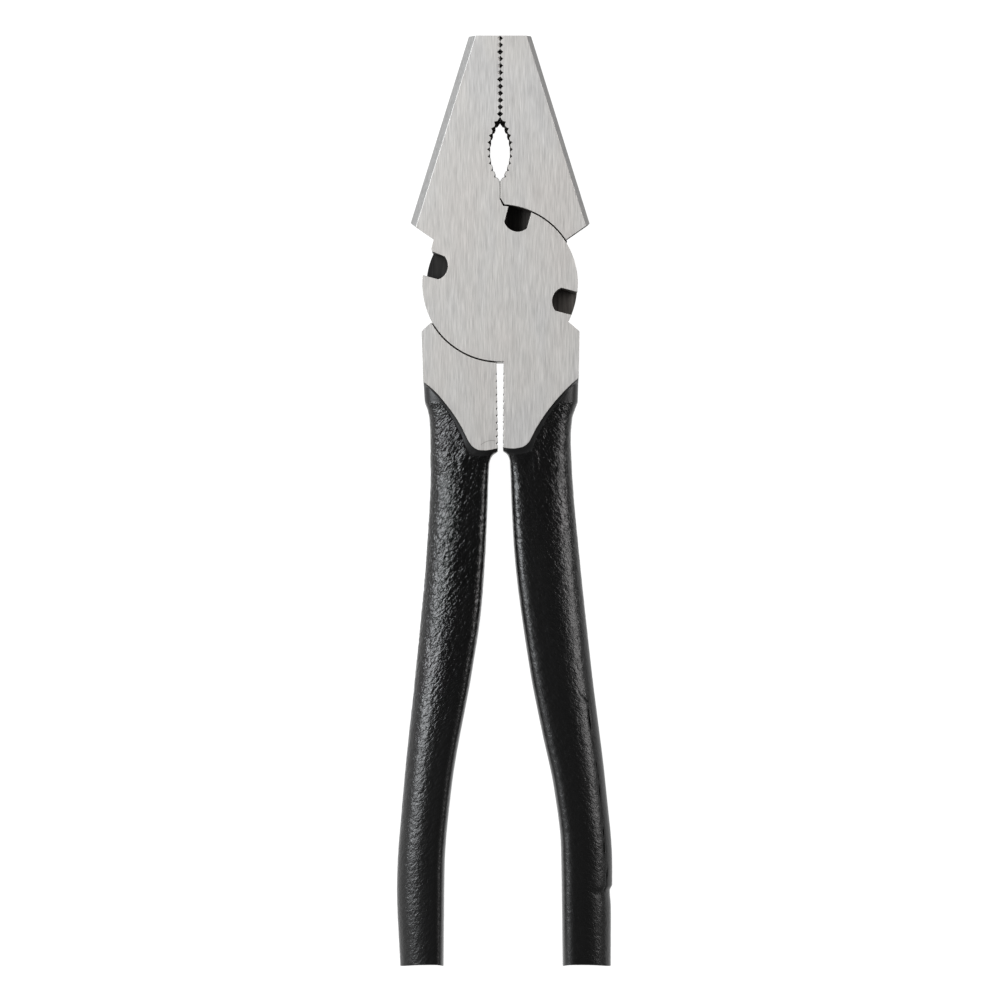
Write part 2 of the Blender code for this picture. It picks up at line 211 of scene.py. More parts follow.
# Brightness of the room from the left wall, at 0, over the ceiling to the right wall, at 1.
WALLS = ((0.0, 0.85), (0.25, 0.34), (0.42, 0.035), (0.60, 0.035), (0.80, 0.10), (1.0, 0.30))

# The lights, as (name, place, the point it faces, width, height, power, colour), in metres.
LIGHTS = (
    ("key_left", (-0.86, 0.40, 0.84), (0.0, 0.40, 0.0), 1.20, 0.55, 20.5, (0.94, 0.97, 1.0)),
    ("fill_right", (0.95, 0.40, 0.74), (0.0, 0.40, 0.0), 1.20, 0.34, 8.4, (1.0, 0.98, 0.98)),
)

# The floor is a hair below the tool, so that the two never share a plane. Its reach is in metres.
FLOOR_REACH = 6.0
FLOOR_DROP = 0.05

# A scratch on the left shank: the top of its bow, how fast that falls to both sides, how far the scratch
# reaches on either side of its line, how strong it is on the line, and its ends.
SCRATCH_TOP = (-2.2, -42.7)
SCRATCH_BOW = 0.13
SCRATCH_REACH = 0.14
SCRATCH_STRENGTH = 0.75
SCRATCH_ENDS = (-5.2, -1.2)

# The camera looks straight down. PICTURE is the picture's width in pixels, and PIXELS_PER_MM is the scale at
# the tool's front face.
CAMERA_Y = -58.9
CAMERA_HEIGHT = 728.0
PIXELS_PER_MM = 3.675
PICTURE = 1000.0
SENSOR = 36.0


# ---------------------------------------------------------------- shapes


def smooth(knots, at):
    """Values at the given places of a curve through the knots (place, value), which never overshoots them."""
    places, values = np.array(sorted(knots), float).T
    slopes = np.diff(values) / np.diff(places)
    tangents = np.concatenate([slopes[:1], np.zeros(len(slopes) - 1), slopes[-1:]])
    product = slopes[:-1] * slopes[1:]
    rising = product > 0
    tangents[1:-1][rising] = 2 * product[rising] / (slopes[:-1] + slopes[1:])[rising]
    at = np.asarray(at, float)
    i = np.clip(np.searchsorted(places, at) - 1, 0, len(places) - 2)
    span = places[i + 1] - places[i]
    t = (at - places[i]) / span
    return (
        values[i] * (2 * t**3 - 3 * t**2 + 1)
        + tangents[i] * span * (t**3 - 2 * t**2 + t)
        + values[i + 1] * (3 * t**2 - 2 * t**3)
        + tangents[i + 1] * span * (t**3 - t**2)
    )


def ease(t):
    """A smooth step from 0 to 1 as t goes from 0 to 1."""
    t = np.clip(t, 0.0, 1.0)
    return t * t * (3 - 2 * t)


def section_point(handle, y, angle, boxy=0.0):
    """X and Z of the grip's surface at one Y, for angles round its section, squared up where boxy is 1."""
    inner, outer = smooth(handle["inner"], y), smooth(handle["outer"], y)
    crest = inner + smooth(handle["crest"], y) * (outer - inner)
    height = smooth(HALF_HEIGHTS, y)
    height = height + boxy * (THICKNESS / 2 - height)
    c, s = np.cos(angle), np.sin(angle)
    outward = c > 0
    reach = np.where(outward, outer - crest, crest - inner)
    roundness = np.where(outward, smooth(OUTER_ROUNDNESS, y), smooth(INNER_ROUNDNESS, y))
    roundness = roundness + SQUARING * np.clip((boxy - 1) / LIP_SHARE + 1, 0, 1)
    radius = (np.abs(c / reach) ** roundness + np.abs(s / height) ** roundness) ** (-1 / roundness)
    return crest + radius * c, radius * s


def grip_start(handle, angle, lowest=-46.5, highest=-24.0, halvings=40):
    """Y where the grip's surface meets the edge of the ground flat, for each angle round the section."""
    low, high = np.full_like(angle, lowest), np.full_like(angle, highest)
    for _ in range(halvings):
        middle = (low + high) / 2
        x, _z = section_point(handle, middle, angle, 1.0)
        below = middle < smooth(handle["flat"], x)
        low, high = np.where(below, middle, low), np.where(below, high, middle)
    return (low + high) / 2


def even_angles(handle, count, samples=4001, y=-100.0):
    """Angles that space points evenly round a section half way along the handle."""
    fine = np.linspace(0, math.tau, samples)
    x, z = section_point(handle, np.full_like(fine, y), fine)
    length = np.concatenate([[0], np.cumsum(np.hypot(np.diff(x), np.diff(z)))])
    return np.interp(np.arange(count) / count * length[-1], length, fine)


# ---------------------------------------------------------------- mesh helpers


def new_object(name, data):
    """A new object in the scene for a mesh, light or camera."""
    obj = bpy.data.objects.new(name, data)
    bpy.context.scene.collection.objects.link(obj)
    return obj


def closed_mesh(name, vertices, faces):
    """A mesh whose normals all face outwards."""
    mesh = bpy.data.meshes.new(name)
    mesh.from_pydata(vertices, [], faces)
    bm = bmesh.new()
    bm.from_mesh(mesh)
    bmesh.ops.recalc_face_normals(bm, faces=bm.faces)
    bm.to_mesh(mesh)
    bm.free()
    return mesh


def grid_mesh(name, points):
    """A skin over a grid of points [row, column, xyz] in mm, wrapped round its columns, with end caps."""
    rows, columns, _ = points.shape
    vertices = [tuple(p) for p in (points * MM).reshape(-1, 3)]
    first = np.arange(rows - 1)[:, None] * columns
    here, after = np.arange(columns)[None, :], (np.arange(columns)[None, :] + 1) % columns
    quads = np.stack([first + here, first + after, first + columns + after, first + columns + here], -1)
    faces = quads.reshape(-1, 4).tolist()
    faces += [list(range(columns)), list(range((rows - 1) * columns, rows * columns))]
    return closed_mesh(name, vertices, faces)


def applied(obj):
    """The object's mesh with its modifiers applied, which replaces the one it had."""
    graph = bpy.context.evaluated_depsgraph_get()
    mesh = bpy.data.meshes.new_from_object(obj.evaluated_get(graph))
    obj.modifiers.clear()
    obj.data = mesh
    return obj


def add_grain_map(mesh, scale=10):
    """A map whose U axis runs across the brushing and V along it, face by face, for the reflections."""
    layer = mesh.uv_layers.new(name="grain")
    for face in mesh.polygons:
        nx, ny, nz = (abs(c) for c in face.normal)
        if nz > 0.6:
            axes = (0, 1)
        elif nx > ny:
            axes = (2, 1)
        else:
            axes = (0, 2)
        for loop in face.loop_indices:
            co = mesh.vertices[mesh.loops[loop].vertex_index].co
            layer.data[loop].uv = (co[axes[0]] * scale, co[axes[1]] * scale)


def set_stops(color_ramp, stops):
    """Gives a colour ramp its (place, colour) stops."""
    elements = color_ramp.elements
    while len(elements) < len(stops):
        elements.new(0.5)
    for element, (position, colour) in zip(elements, stops):
        element.position = position
        element.color = (*colour, 1.0)


# ---------------------------------------------------------------- materials


def grey(value):
    """A grey colour of the given brightness."""
    return (value, value, value)


class Look:
    """A node material under construction, with short names for the nodes that the looks share."""

    def __init__(self, name):
        self.material = bpy.data.materials.new(name)
        self.material.use_nodes = True
        self.tree = self.material.node_tree
        self.shader = self.tree.nodes["Principled BSDF"]
        self.place = self.add("ShaderNodeTexCoord").outputs["Object"]

    def add(self, kind, **values):
        node = self.tree.nodes.new(kind)
        for name, value in values.items():
            setattr(node, name, value)
        return node

    def link(self, source, target):
        self.tree.links.new(source, target)

    def noise(self, cell, turn=0.0, detail=3.0, roughness=0.55, distortion=0.0):
        """Noise with cells of the given size in mm along X, Y and Z, turned about Z by some degrees."""
        mapping = self.add("ShaderNodeMapping", vector_type="TEXTURE")
        mapping.inputs["Scale"].default_value = [c * MM for c in cell]
        mapping.inputs["Rotation"].default_value[2] = math.radians(turn)
        self.link(self.place, mapping.inputs["Vector"])
        texture = self.add("ShaderNodeTexNoise")
        texture.inputs["Scale"].default_value = 1.0
        texture.inputs["Detail"].default_value = detail
        texture.inputs["Roughness"].default_value = roughness
        texture.inputs["Distortion"].default_value = distortion
        self.link(mapping.outputs["Vector"], texture.inputs["Vector"])
        return texture.outputs["Fac"]

    def ramp(self, value, *stops):
        """A colour ramp through (place, colour) stops."""
        node = self.add("ShaderNodeValToRGB")
        set_stops(node.color_ramp, stops)
        self.link(value, node.inputs["Fac"])
        return node.outputs["Color"]

    def remap(self, value, low, high, start=0.3, end=0.7):
        """The value's span from start to end stretched to run from low to high."""
        node = self.add("ShaderNodeMapRange")
        node.inputs["From Min"].default_value = start
        node.inputs["From Max"].default_value = end
        node.inputs["To Min"].default_value = low
        node.inputs["To Max"].default_value = high
        self.link(value, node.inputs["Value"])
        return node.outputs["Result"]

    def axes(self):
        """The X, Y and Z of the place on the tool, in metres."""
        split = self.add("ShaderNodeSeparateXYZ")
        self.link(self.place, split.inputs["Vector"])
        return split.outputs

    def by_side(self, left, right, reach):
        """A value that goes from left to right as X goes from -reach to reach, in mm."""
        return self.remap(self.axes()["X"], left, right, -reach * MM, reach * MM)

    def math(self, operation, a, b):
        """A sum or other operation. Each argument is a socket or a plain number."""
        node = self.add("ShaderNodeMath", operation=operation)
        for socket, value in zip(node.inputs, (a, b)):
            if isinstance(value, bpy.types.NodeSocket):
                self.link(value, socket)
            else:
                socket.default_value = value
        return node.outputs["Value"]

    def scratch(self):
        """A short bowed scratch low on the left shank: how strong it is, from 0 off its line."""
        axes = self.axes()
        aside = self.math("SUBTRACT", axes["X"], SCRATCH_TOP[0] * MM)
        bow = self.math("MULTIPLY", self.math("MULTIPLY", aside, aside), SCRATCH_BOW / MM)
        drop = self.math("SUBTRACT", self.math("ADD", axes["Y"], bow), SCRATCH_TOP[1] * MM)
        off = self.math("ABSOLUTE", drop, 0.0)
        near = self.remap(off, SCRATCH_STRENGTH, 0.0, 0.0, SCRATCH_REACH * MM)
        left, right = (place * MM for place in SCRATCH_ENDS)
        inside = self.math("COMPARE", axes["X"], (left + right) / 2)
        inside.node.inputs[2].default_value = (right - left) / 2
        return self.math("MULTIPLY", near, inside)

    def mix(self, factor, a, b, blend="MIX"):
        """A colour mix. Each argument is a socket, or a plain number or colour."""
        node = self.add("ShaderNodeMix", data_type="RGBA", blend_type=blend)
        for socket, value in ((node.inputs[0], factor), (node.inputs[6], a), (node.inputs[7], b)):
            if isinstance(value, bpy.types.NodeSocket):
                self.link(value, socket)
            else:
                socket.default_value = value if isinstance(value, float) else (*value, 1.0)
        return node.outputs[2]

    def bump(self, pattern, height):
        """Bumps in a pattern that goes from 0 to 1, of the given height in mm."""
        node = self.add("ShaderNodeBump")
        node.inputs["Strength"].default_value = 1.0
        node.inputs["Distance"].default_value = height * MM
        self.link(pattern, node.inputs["Height"])
        self.link(node.outputs["Normal"], self.shader.inputs["Normal"])


def brushed_steel(name):
    """Steel ground flat and brushed lengthwise: fine streaks, warm and cool drifts, long reflections."""
    look = Look(name)
    fine = look.noise((0.21, 4.6, 0.21), detail=2.0, roughness=0.6)
    broad = look.noise((0.55, 9.0, 0.55))
    drift = look.noise((13.0, 34.0, 13.0), detail=2.0)
    colour = look.ramp(broad, (0.25, (0.487, 0.474, 0.457)), (0.75, (0.529, 0.516, 0.497)))
    warm, neutral, cool = (1.0, 0.980, 0.966), (1.0, 0.992, 0.982), (0.985, 0.986, 0.992)
    tint = look.ramp(drift, (0.34, warm), (0.5, neutral), (0.66, cool))
    colour = look.mix(1.0, colour, tint, "MULTIPLY")
    streak = look.ramp(fine, (0.3, grey(0.79)), (0.7, grey(1.07)))
    colour = look.mix(1.0, colour, streak, "MULTIPLY")
    colour = look.mix(look.scratch(), colour, (0.16, 0.15, 0.14))
    look.link(colour, look.shader.inputs["Base Color"])
    look.shader.inputs["Metallic"].default_value = 1.0
    look.link(look.remap(broad, 0.46, 0.52), look.shader.inputs["Roughness"])
    look.shader.inputs["Anisotropic"].default_value = 0.6
    tangent = look.add("ShaderNodeTangent", direction_type="UV_MAP", uv_map="grain")
    look.link(tangent.outputs["Tangent"], look.shader.inputs["Tangent"])
    look.bump(fine, 0.006)
    return look.material


def chamfer_steel(name):
    """The same steel coarsely ground on the chamfers: greyer and duller, with painted light and shade that
    make it lighter on the left and darker on the right.
    """
    look = Look(name)
    fine = look.noise((0.3, 3.4, 0.3), detail=4.0)
    colour = look.ramp(fine, (0.3, (0.26, 0.257, 0.253)), (0.7, (0.33, 0.327, 0.322)))
    # Painted light and shade: the chamfer colour is raised on the left and lowered on the right, where the
    # lights fall unevenly on it.
    painted_side_shade = look.by_side(1.12, 0.96, 5.0)
    look.link(look.mix(1.0, colour, painted_side_shade, "MULTIPLY"), look.shader.inputs["Base Color"])
    look.shader.inputs["Metallic"].default_value = 1.0
    look.link(look.remap(fine, 0.42, 0.52), look.shader.inputs["Roughness"])
    look.bump(fine, 0.008)
    return look.material


def blackened_steel(name):
    """The steel inside the joint and between the jaws: dark, faintly brushed and oily, with painted light
    that makes it lighter towards the right and darker towards the left.
    """
    look = Look(name)
    fine = look.noise((0.4, 9.0, 0.4), detail=4.0)
    colour = look.ramp(fine, (0.3, (0.011, 0.010, 0.009)), (0.7, (0.036, 0.033, 0.030)))
    # Painted light: the dark steel is lightened towards the right, where the deep notch lies in shade, and
    # darkened towards the left.
    painted_right_light = look.by_side(0.56, 3.5, 18.0)
    look.link(look.mix(1.0, colour, painted_right_light, "MULTIPLY"), look.shader.inputs["Base Color"])
    look.shader.inputs["Metallic"].default_value = 0.0
    look.link(look.remap(fine, 0.45, 0.62), look.shader.inputs["Roughness"])
    look.shader.inputs["Specular IOR Level"].default_value = 0.35
    look.bump(fine, 0.01)
    return look.material


def black_teeth_painted_shade(name):
    """The serrations of the pipe grip and of the lower gap, and the right jaw's shoulder wall, almost black
    with no reflection: partly blackened steel, partly painted shade for the shade deep between the teeth and
    under the shoulder.
    """
    look = Look(name)
    fine = look.noise((0.5, 0.8, 3.0), detail=4.0)
    colour = look.ramp(fine, (0.3, (0.026, 0.024, 0.022)), (0.7, (0.056, 0.051, 0.046)))
    # Painted shade in part: the near-black colour stands in for the shade in the teeth and under the
    # shoulder.
    look.link(colour, look.shader.inputs["Base Color"])
    look.link(look.remap(fine, 0.5, 0.7), look.shader.inputs["Roughness"])
    look.shader.inputs["Specular IOR Level"].default_value = 0.0
    look.bump(fine, 0.02)
    return look.material


def black_coating(name, slant):
    """Glossy black vinyl with an orange-peel surface, matt on the ground lip, and black and dull in the
    crease, where painted shade takes away all reflection.
    """
    look = Look(name)
    moulded = look.add("ShaderNodeAttribute", attribute_name="wrinkled").outputs["Fac"]
    groove_and_shade = look.add("ShaderNodeAttribute", attribute_name="crease").outputs["Fac"]
    peel = look.noise(PEEL_CELL, slant, detail=1.5, roughness=0.5, distortion=0.8)
    wear = look.noise((6.0, 14.0, 6.0))
    glossy = look.ramp(wear, (0.3, grey(0.0018)), (0.7, (0.0034, 0.0033, 0.0033)))
    colour = look.mix(moulded, (0.0045, 0.0044, 0.0044), glossy)
    # Painted shade: in the crease the colour is nearly black and, with Metallic, reflects almost nothing,
    # standing in for the shade in the groove.
    look.link(look.mix(groove_and_shade, colour, grey(0.001)), look.shader.inputs["Base Color"])
    look.link(groove_and_shade, look.shader.inputs["Metallic"])
    satin = look.ramp(peel, (0.3, grey(0.15)), (0.7, grey(0.23)))
    rough = look.mix(moulded, grey(0.38), satin)
    look.link(look.mix(groove_and_shade, rough, grey(0.9)), look.shader.inputs["Roughness"])
    look.shader.inputs["Specular IOR Level"].default_value = 0.5
    look.bump(look.math("MULTIPLY", peel, moulded), PEEL_HEIGHT)
    return look.material


# ---------------------------------------------------------------- pieces


def between(value, limits):
    """Whether a value is inside the two limits."""
    return limits[0] < value < limits[1]


def finish_of(centre, normal, turned):
    """Which finish of the steel a face has, from its centre and its normal."""
    x, y, z = (c / MM for c in centre)
    if turned:
        x, z = -x, THICKNESS - z
    radius = math.hypot(x, y)
    on_chamfer = 0.2 < abs(normal.z) < 0.95 and abs(normal.x) > 0.4
    jaw_face = y > JAW_FACE_Y and between(x, JAW_FACE_X)
    if on_chamfer and y > CHAMFER_Y and x < CHAMFER_X:
        return CHAMFERED
    if normal.y > 0.9 and y > NOSE_END_Y:
        return GROUND
    if abs(normal.z) > 0.98 or not jaw_face and abs(normal.z) > 0.9:
        between_layers = abs(z - THICKNESS / 2) < LAYER_REACH
        return BLACKENED if between_layers else GROUND
    lower_gap = turned and abs(x) < LOWER_GAP_X and between(y, LOWER_GAP_Y)
    # Painted shade: the right jaw's shoulder wall and its edge break get the near-black teeth finish to draw
    # the shade under the shoulder.
    shaded_shoulder_edge = turned and y < SHOULDER[0][1] and x < SHOULDER_X
    if lower_gap or shaded_shoulder_edge or jaw_face and y < PIPE_GRIP_TOP:
        return TOOTHED
    closed_groove = jaw_face and not turned and abs(normal.z) > 0.25
    joint_wall = radius < JOINT_RADIUS and z < THICKNESS / 2
    if not closed_groove and (jaw_face or joint_wall or between(radius, NOTCH_RADII)):
        return BLACKENED
    return GROUND


def shoulder_wedge(side):
    """A wedge to cut away under the jaw's shoulder: side is 1 for the left jaw and -1 for the right one."""
    corner, end = (np.array(p) for p in SHOULDER)
    run = (end - corner) / np.linalg.norm(end - corner)
    out = np.array((run[1], -run[0]))
    lean = SHOULDER_LEANS[side] * (1 + WEDGE_BELOW / THICKNESS)
    profile = (
        (WEDGE_INSET, THICKNESS),
        (WEDGE_REACH, THICKNESS),
        (WEDGE_REACH, -WEDGE_BELOW),
        (-lean, -WEDGE_BELOW),
    )
    points = []
    for place in (corner - WEDGE_OVERRUN * run, end):
        points += [(*(place + out * depth), height) for depth, height in profile]
    vertices = [(x * side * MM, y * MM, z * MM) for x, y, z in points]
    faces = [(0, 1, 2, 3), (7, 6, 5, 4), (0, 4, 5, 1), (1, 5, 6, 2), (2, 6, 7, 3), (3, 7, 4, 0)]
    return new_object("wedge", closed_mesh("wedge", vertices, faces))


def without(mesh, cutter):
    """The mesh with the cutter's volume taken away. The cutter is then deleted."""
    obj = new_object("cut", mesh)
    cut = obj.modifiers.new("cut", "BOOLEAN")
    cut.operation = "DIFFERENCE"
    cut.solver = "EXACT"
    cut.object = cutter
    applied(obj)
    result = obj.data
    bpy.data.objects.remove(obj)
    bpy.data.objects.remove(cutter)
    return result


def tooth_at(place, reach):
    """The number of the tooth whose root is within reach of a place, measured in teeth, or -1."""
    index = round(place)
    return index if abs(place - index) < reach else -1


def on_nose_tooth(vertex):
    """Whether a vertex of the half with the left jaw is on the teeth of its nose."""
    return GROOVE_ROOT_X[0] * MM < vertex.co.x < 0 and vertex.co.y > NOSE_TEETH_Y * MM


def slant_grooves(bm):
    """Closes each nose groove of the left jaw to its open share a little below either face."""
    walls = [f for f in bm.faces if abs(f.normal.z) < 0.1 and all(on_nose_tooth(v) for v in f.verts)]
    for height in (GROOVE_SLANT, THICKNESS - GROOVE_SLANT):
        geometry = {e for f in walls for e in f.edges} | {v for f in walls for v in f.verts} | set(walls)
        level = Vector((0, 0, height * MM))
        cut = bmesh.ops.bisect_plane(bm, geom=list(geometry), plane_co=level, plane_no=(0, 0, 1))
        walls += [g for g in cut["geom"] if isinstance(g, bmesh.types.BMFace) and g not in walls]
        walls = [f for f in walls if f.is_valid]
    for vertex in bm.verts:
        x, y, z = (c / MM for c in vertex.co)
        index = tooth_at((GROOVE_Y - y) / GROOVE_PITCH, ROOT_REACH)
        at_root = 0 <= index < len(GROOVES_OPEN) and between(x, GROOVE_ROOT_X)
        if at_root and SKIN < z < THICKNESS - SKIN:
            vertex.co.x *= GROOVES_OPEN[index]


def deepen_lower_teeth(bm):
    """Moves the front end of each lower tooth's root away from the gap, more so towards the grip."""
    for vertex in bm.verts:
        x, y, z = (c / MM for c in vertex.co)
        index = tooth_at((y - LOWER_TOOTH_Y) / GROOVE_PITCH, LOWER_ROOT_REACH)
        at_root = 0 <= index < LOWER_TEETH and between(x, LOWER_TOOTH_X)
        if at_root and z > THICKNESS - SKIN:
            vertex.co.x -= LOWER_TOOTH_CUT * MM * (1 - LOWER_TOOTH_FADE * index)


def close_jaws(bm):
    """Draws the two cutting faces together, so that only a fine line shows between them."""
    for vertex in bm.verts:
        if vertex.co.y > CLOSED_Y * MM and abs(vertex.co.x) < JAW_GAP * MM:
            vertex.co.x *= GAP_LEFT


def below_faces(vertex, depth):
    """Whether a vertex is further than a depth in mm from both faces of the tool."""
    return depth * MM < vertex.co.z < (THICKNESS - depth) * MM


def is_worn(edge):
    """Whether an edge of the steel is sharp and open to wear."""
    under_coating = any(v.co.y < COATED_Y * MM and below_faces(v, COATED_DEPTH) for v in edge.verts)
    round_rivet = all(v.co.xy.length < RIVET_AREA * MM for v in edge.verts)
    in_groove = all(v.co.y > NOSE_TEETH_Y * MM and below_faces(v, SKIN) for v in edge.verts)
    sharp = edge.calc_face_angle(0.0) > math.radians(SHARP)
    return sharp and not under_coating and not round_rivet and not in_groove


def weigh_edges(bm):
    """Says how wide the worn break is on each edge: narrower where short edges leave no room for it."""
    weight = bm.edges.layers.float.get("bevel_weight_edge") or bm.edges.layers.float.new("bevel_weight_edge")
    for edge in bm.edges:
        shortest = min(e.calc_length() for v in edge.verts for e in v.link_edges)
        room = min(1.0, BREAK_SHARE * shortest / (EDGE_BREAK * MM))
        edge[weight] = room if is_worn(edge) else 0.0


def steel_half(name, node, body, materials, turned=False):
    """A steel half: the CAD solid with its flat faces whole again and a fine break worn on its open edges."""
    mesh = without(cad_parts[node].data.copy(), shoulder_wedge(-1 if turned else 1))
    mesh.name = name
    mesh.materials.clear()
    for material in materials:
        mesh.materials.append(material)
    bm = bmesh.new()
    bm.from_mesh(mesh)
    bmesh.ops.remove_doubles(bm, verts=bm.verts, dist=JOIN * MM)
    bmesh.ops.dissolve_limit(bm, angle_limit=math.radians(FLAT), verts=bm.verts, edges=bm.edges)
    close_jaws(bm)
    if turned:
        deepen_lower_teeth(bm)
    else:
        slant_grooves(bm)
    weigh_edges(bm)
    for face in bm.faces:
        face.smooth = True
    bm.to_mesh(mesh)
    bm.free()
    half = new_object(name, mesh)
    bevel = half.modifiers.new("edge_break", "BEVEL")
    bevel.limit_method = "WEIGHT"
    bevel.width = EDGE_BREAK * MM
    bevel.segments = 2
    bevel.use_clamp_overlap = False
    shading = half.modifiers.new("flat_faces", "WEIGHTED_NORMAL")
    shading.mode = "FACE_AREA"
    shading.weight = 100
    applied(half)
    for face in half.data.polygons:
        face.material_index = finish_of(face.center, face.normal, turned)
    add_grain_map(half.data)
    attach(half, body)
    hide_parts(node)
    return half


def rivet(name, body, material):
    """The rivet, turned in rings from its front face to its rear one, ground flush at both."""
    rings = [
        (RIVET_HUB, THICKNESS),
        (RIVET_FRONT_HEAD - RIVET_FRONT_BREAK, THICKNESS),
        (RIVET_FRONT_HEAD, THICKNESS - RIVET_FRONT_BREAK),
        (RIVET_SHANK, THICKNESS - RIVET_HEAD_HEIGHT),
        (RIVET_SHANK, RIVET_HEAD_HEIGHT),
        (RIVET_REAR_HEAD, RIVET_REAR_BREAK),
        (RIVET_REAR_HEAD - RIVET_REAR_BREAK, 0.0),
        (RIVET_HUB, 0.0),
    ]
    angles = np.arange(RIVET_SIDES) / RIVET_SIDES * math.tau
    points = np.array([[(r * math.cos(a), r * math.sin(a), z) for a in angles] for r, z in rings])
    mesh = grid_mesh(name, points)
    mesh.shade_smooth()
    mesh.set_sharp_from_angle(angle=math.radians(SHARP))
    mesh.materials.append(material)
    obj = new_object(name, mesh)
    add_grain_map(mesh)
    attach(obj, body)
    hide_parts("pivot_rivet")
    return obj


def grip_points(handle):
    """The grip's surface as a grid from lip to cut end, and how far each point is from the ground face."""
    angle = even_angles(handle, AROUND)[None, :]
    start = grip_start(handle, angle)
    steps = np.linspace(0, 1, ALONG)[:, None]
    along = 0.25 * steps + 0.75 * steps**1.12  # rows are a little closer together near the lip
    _x, height = section_point(handle, np.full_like(angle, END_Y), angle)
    end = END_Y + END_DOME * (height / (THICKNESS / 2)) ** 2
    y = start + (end - start) * along

    # At the lip the section is square and level with the ground face, then falls to the handle's own.
    x, _z = section_point(handle, start, angle, 1.0)
    slope = (smooth(handle["flat"], x + 0.05) - smooth(handle["flat"], x - 0.05)) / 0.1
    depth = (start - y) / np.sqrt(1 + slope**2)
    lip = np.clip(depth / LIP_WIDTH, 0, 1)
    boxy = 1 - LIP_SHARE * lip - (1 - LIP_SHARE) * ease((depth - LIP_WIDTH) / FALL)
    x, z = section_point(handle, y, np.broadcast_to(angle, y.shape), boxy)
    z *= 1 - LIP_DROP / (THICKNESS / 2) * boxy
    points = np.stack([x * handle["side"], y, z + THICKNESS / 2], -1)
    return points, depth


def surface_normals(points):
    """The outward normal at each point of a grid wrapped round its columns."""
    along = np.gradient(points, axis=0)
    around = np.roll(points, -1, axis=1) - np.roll(points, 1, axis=1)
    normals = np.cross(around, along)
    normals /= np.maximum(np.linalg.norm(normals, axis=-1, keepdims=True), 1e-9)
    centre = points.mean(axis=1, keepdims=True)
    outward = np.sign(((points - centre) * normals).sum(-1).mean())
    return normals * outward


def wrinkled(handle, points, depth):
    """How strong the wrinkles are: 0 on the lip and at the cut end, and strongest on the outer side."""
    x, y = points[..., 0] * handle["side"], points[..., 1]
    inner, outer = smooth(handle["inner"], y), smooth(handle["outer"], y)
    calm = handle["calm"]
    side = calm + (1 - calm) * ease(((x - inner) / (outer - inner) - CALM_START) / CALM_STEP)
    side = side * smooth(handle["relief"], y)
    below_lip = ease((depth - LIP_WIDTH) / LIP_FADE)
    return side * below_lip * ease((TEXTURE_Y - y) / TEXTURE_FADE) * ease((y - END_Y) / END_FADE)


def crease(handle, points, knots):
    """How near a crease is, from 0 to 1, and how far the strip outside it has set in."""
    x, y, z = points[..., 0] * handle["side"], points[..., 1], points[..., 2]
    top, bottom = knots[0][0], knots[-1][0]
    place = smooth(handle["outer"], y) - smooth(knots, np.clip(y, bottom, top))
    half = CREASE_ENDS / 2
    here = ease((top + half - y) / CREASE_ENDS) * ease((y - bottom + half) / CREASE_ENDS)
    here = (z > THICKNESS / 2) * here
    near = np.minimum(1.0, 1.5 * np.exp(-(((x - place) / CREASE_WIDTH) ** 2)))  # flat at its bottom
    return here * near, here * ease((x - place) / CREASE_ENDS)


def unevenness(points, amount, slant, seed):
    """How far the low waves and slanting wrinkles lift each point, where amount says how strong they are."""
    turn = np.radians(slant)
    along = points[..., 0] * np.cos(turn) + points[..., 1] * np.sin(turn)
    across = points[..., 1] * np.cos(turn) - points[..., 0] * np.sin(turn)
    rise = np.zeros(amount.shape)
    for length, width, height in UNEVENNESS:
        places = np.stack([along / length + seed, across / width, points[..., 2] / width], -1).reshape(-1, 3)
        rise += height * np.array([noise.noise(Vector(place)) for place in places]).reshape(amount.shape)
    return (rise - SINK) * amount


def worn_crease(points, seed):
    """The right grip's crease with its hook, from 0 to 1, and the smoother strip outside it."""
    hook, _strip = crease(RIGHT, points, HOOK)
    groove_and_shade, strip = crease(RIGHT, points, CREASE)
    rows = points[..., 1].mean(axis=1)
    average, swing = CREASE_WEAR
    wear = [average + swing * noise.noise(Vector((0, y / CREASE_WEAR_LENGTH, seed))) for y in rows]
    groove_and_shade = groove_and_shade * np.clip(wear, CREASE_LEAST, 1)[:, None]
    below_hook = ease((HOOK[0][0] - points[..., 1]) / HOOK_FADE)
    return np.maximum(hook, groove_and_shade * (CREASE_LEAST + (1 - CREASE_LEAST) * below_hook)), strip


def grip(name, node, handle, body, seed):
    """A coated grip: its wrinkled skin, a domed end below, and a plain cap above where the steel hides it."""
    points, depth = grip_points(handle)
    amount = wrinkled(handle, points, depth)
    groove_and_shade = np.zeros(depth.shape)
    if handle is RIGHT:
        groove_and_shade, strip = worn_crease(points, seed)
        amount = amount * (1 - SMOOTH_STRIP * strip)
    slant = -handle["side"] * SLANT
    rise = unevenness(points, amount, slant, seed) - CREASE_DEPTH * groove_and_shade
    points = points + surface_normals(points) * rise[..., None]
    centre = points[-1].mean(axis=0)
    rings = [centre + (points[-1] - centre) * (share, share**2, share) for share in END_RINGS]
    points = np.concatenate([points, np.array(rings)])
    amount, groove_and_shade = (np.pad(layer, ((0, len(END_RINGS)), (0, 0))) for layer in (amount, groove_and_shade))
    mesh = grid_mesh(name, points)
    for layer, values in (("wrinkled", amount), ("crease", groove_and_shade)):
        attribute = mesh.attributes.new(layer, "FLOAT", "POINT")
        attribute.data.foreach_set("value", values.astype(np.float32).ravel())
    mesh.shade_smooth()
    mesh.set_sharp_from_angle(angle=math.radians(LIP_EDGE))
    mesh.materials.append(black_coating(name + "_vinyl", slant))
    obj = new_object(name, mesh)
    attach(obj, body)
    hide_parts(node)
    return obj


# ---------------------------------------------------------------- studio


